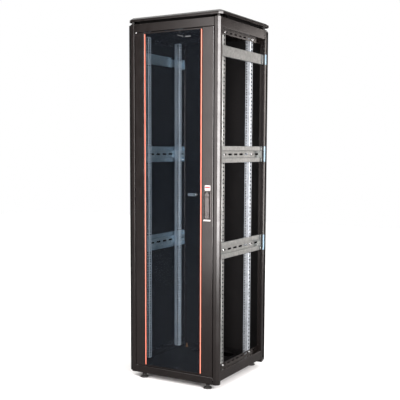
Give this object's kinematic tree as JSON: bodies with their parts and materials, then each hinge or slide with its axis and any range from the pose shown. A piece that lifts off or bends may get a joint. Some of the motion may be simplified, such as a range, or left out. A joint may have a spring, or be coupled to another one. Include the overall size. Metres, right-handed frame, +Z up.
{
  "type": "network rack cabinet",
  "caption": "Tall free-standing steel network rack cabinet with a glass front door, swing handle, steel rear door, square-hole mounting rails, raised roof and levelling feet",
  "frame": {"origin": "On the floor under the feet, at the middle of the overall width (X) and of the overall depth (Y).", "axes": "+X is the cabinet's right seen from the front, +Y goes from the glass door to the rear door, +Z is up. The glass door faces -Y."},
  "size_m": [0.6, 0.623, 2.07],
  "materials": {
    "paint": "very dark warm black powder coat, semi-gloss",
    "zinc": "zinc-plated pressed steel sheet, satin",
    "glass": "lightly smoked toughened glass",
    "accent": "coral orange band along each long edge of the glass",
    "plastic": "black moulded plastic",
    "handle": "dark coated die casting",
    "label": "plain off-white plate with no lettering",
    "brass": "yellow-plated bolt"
  },
  "bodies": {
    "frame": {"post_front_left": "paint", "post_front_right": "paint", "post_rear_left": "paint", "post_rear_right": "paint", "base_front_rail": "paint", "base_rear_rail": "paint", "base_left_beam": "paint", "base_right_beam": "paint", "header_rail": "paint", "top_rear_rail": "paint", "top_left_beam": "paint", "top_right_beam": "paint", "floor_plate": "paint", "earth_stud": "brass", "rail_front_left": "zinc", "rail_front_right": "zinc", "rail_rear_left": "zinc", "rail_rear_right": "zinc", "brace_left_lower": "zinc", "brace_left_middle": "zinc", "brace_left_upper": "zinc", "brace_right_lower": "zinc", "brace_right_middle": "zinc", "brace_right_upper": "zinc", "roof_cover": "paint", "roof_spacer_front_left": "plastic", "roof_spacer_front_right": "plastic", "roof_spacer_rear_left": "plastic", "roof_spacer_rear_right": "plastic", "side_panel_left": "paint", "door_pin_top": "zinc", "door_pin_bottom": "zinc", "rear_hinge_top": "zinc", "rear_hinge_bottom": "zinc"},
    "front_door": {"door_hinge_stile": "paint", "door_lock_stile": "paint", "door_top_rail": "paint", "door_bottom_rail": "paint", "door_glass": "glass", "glass_strip_left": "accent", "glass_strip_right": "accent", "handle_pan": "handle", "handle_label": "label"},
    "handle_spindle": {"handle_spindle": "handle"},
    "handle_lever": {"handle_lever": "handle"},
    "handle_lock": {"handle_lock_plug": "zinc"},
    "rear_door": {"rear_door": "paint", "rear_lock_body": "zinc"},
    "rear_lock": {"rear_lock_cam": "zinc"},
    "foot_front_left": {"foot_front_left": "plastic"},
    "foot_front_right": {"foot_front_right": "plastic"},
    "foot_rear_left": {"foot_rear_left": "plastic"},
    "foot_rear_right": {"foot_rear_right": "plastic"}
  },
  "joints": [
    {"name": "front_door_hinge", "type": "hinge", "parent": "frame", "child": "front_door", "pos_m": [-0.246, -0.298, 1.03], "axis": [0, 0, -1], "range_deg": [0, 120]},
    {"name": "handle_turn", "type": "hinge", "parent": "front_door", "child": "handle_spindle", "pos_m": [0.219, -0.3085, 1.09], "axis": [0, 1, 0], "range_deg": [0, 90]},
    {"name": "lever_lift", "type": "hinge", "parent": "handle_spindle", "child": "handle_lever", "pos_m": [0.219, -0.3081, 1.076], "axis": [-1, 0, 0], "range_deg": [0, 35]},
    {"name": "handle_lock_turn", "type": "hinge", "parent": "handle_lever", "child": "handle_lock", "pos_m": [0.219, -0.3085, 0.981], "axis": [0, 1, 0], "range_deg": [0, 90]},
    {"name": "rear_door_hinge", "type": "hinge", "parent": "frame", "child": "rear_door", "pos_m": [0.284, 0.3065, 1.034], "axis": [0, 0, -1], "range_deg": [0, 120]},
    {"name": "rear_lock_turn", "type": "hinge", "parent": "rear_door", "child": "rear_lock", "pos_m": [-0.202, 0.301, 1.046], "axis": [0, 1, 0], "range_deg": [0, 90]},
    {"name": "foot_front_left_screw", "type": "slide", "parent": "frame", "child": "foot_front_left", "axis": [0, 0, -1], "range_m": [0, 0.02]},
    {"name": "foot_front_right_screw", "type": "slide", "parent": "frame", "child": "foot_front_right", "axis": [0, 0, -1], "range_m": [0, 0.02]},
    {"name": "foot_rear_left_screw", "type": "slide", "parent": "frame", "child": "foot_rear_left", "axis": [0, 0, -1], "range_m": [0, 0.02]},
    {"name": "foot_rear_right_screw", "type": "slide", "parent": "frame", "child": "foot_rear_right", "axis": [0, 0, -1], "range_m": [0, 0.02]}
  ]
}
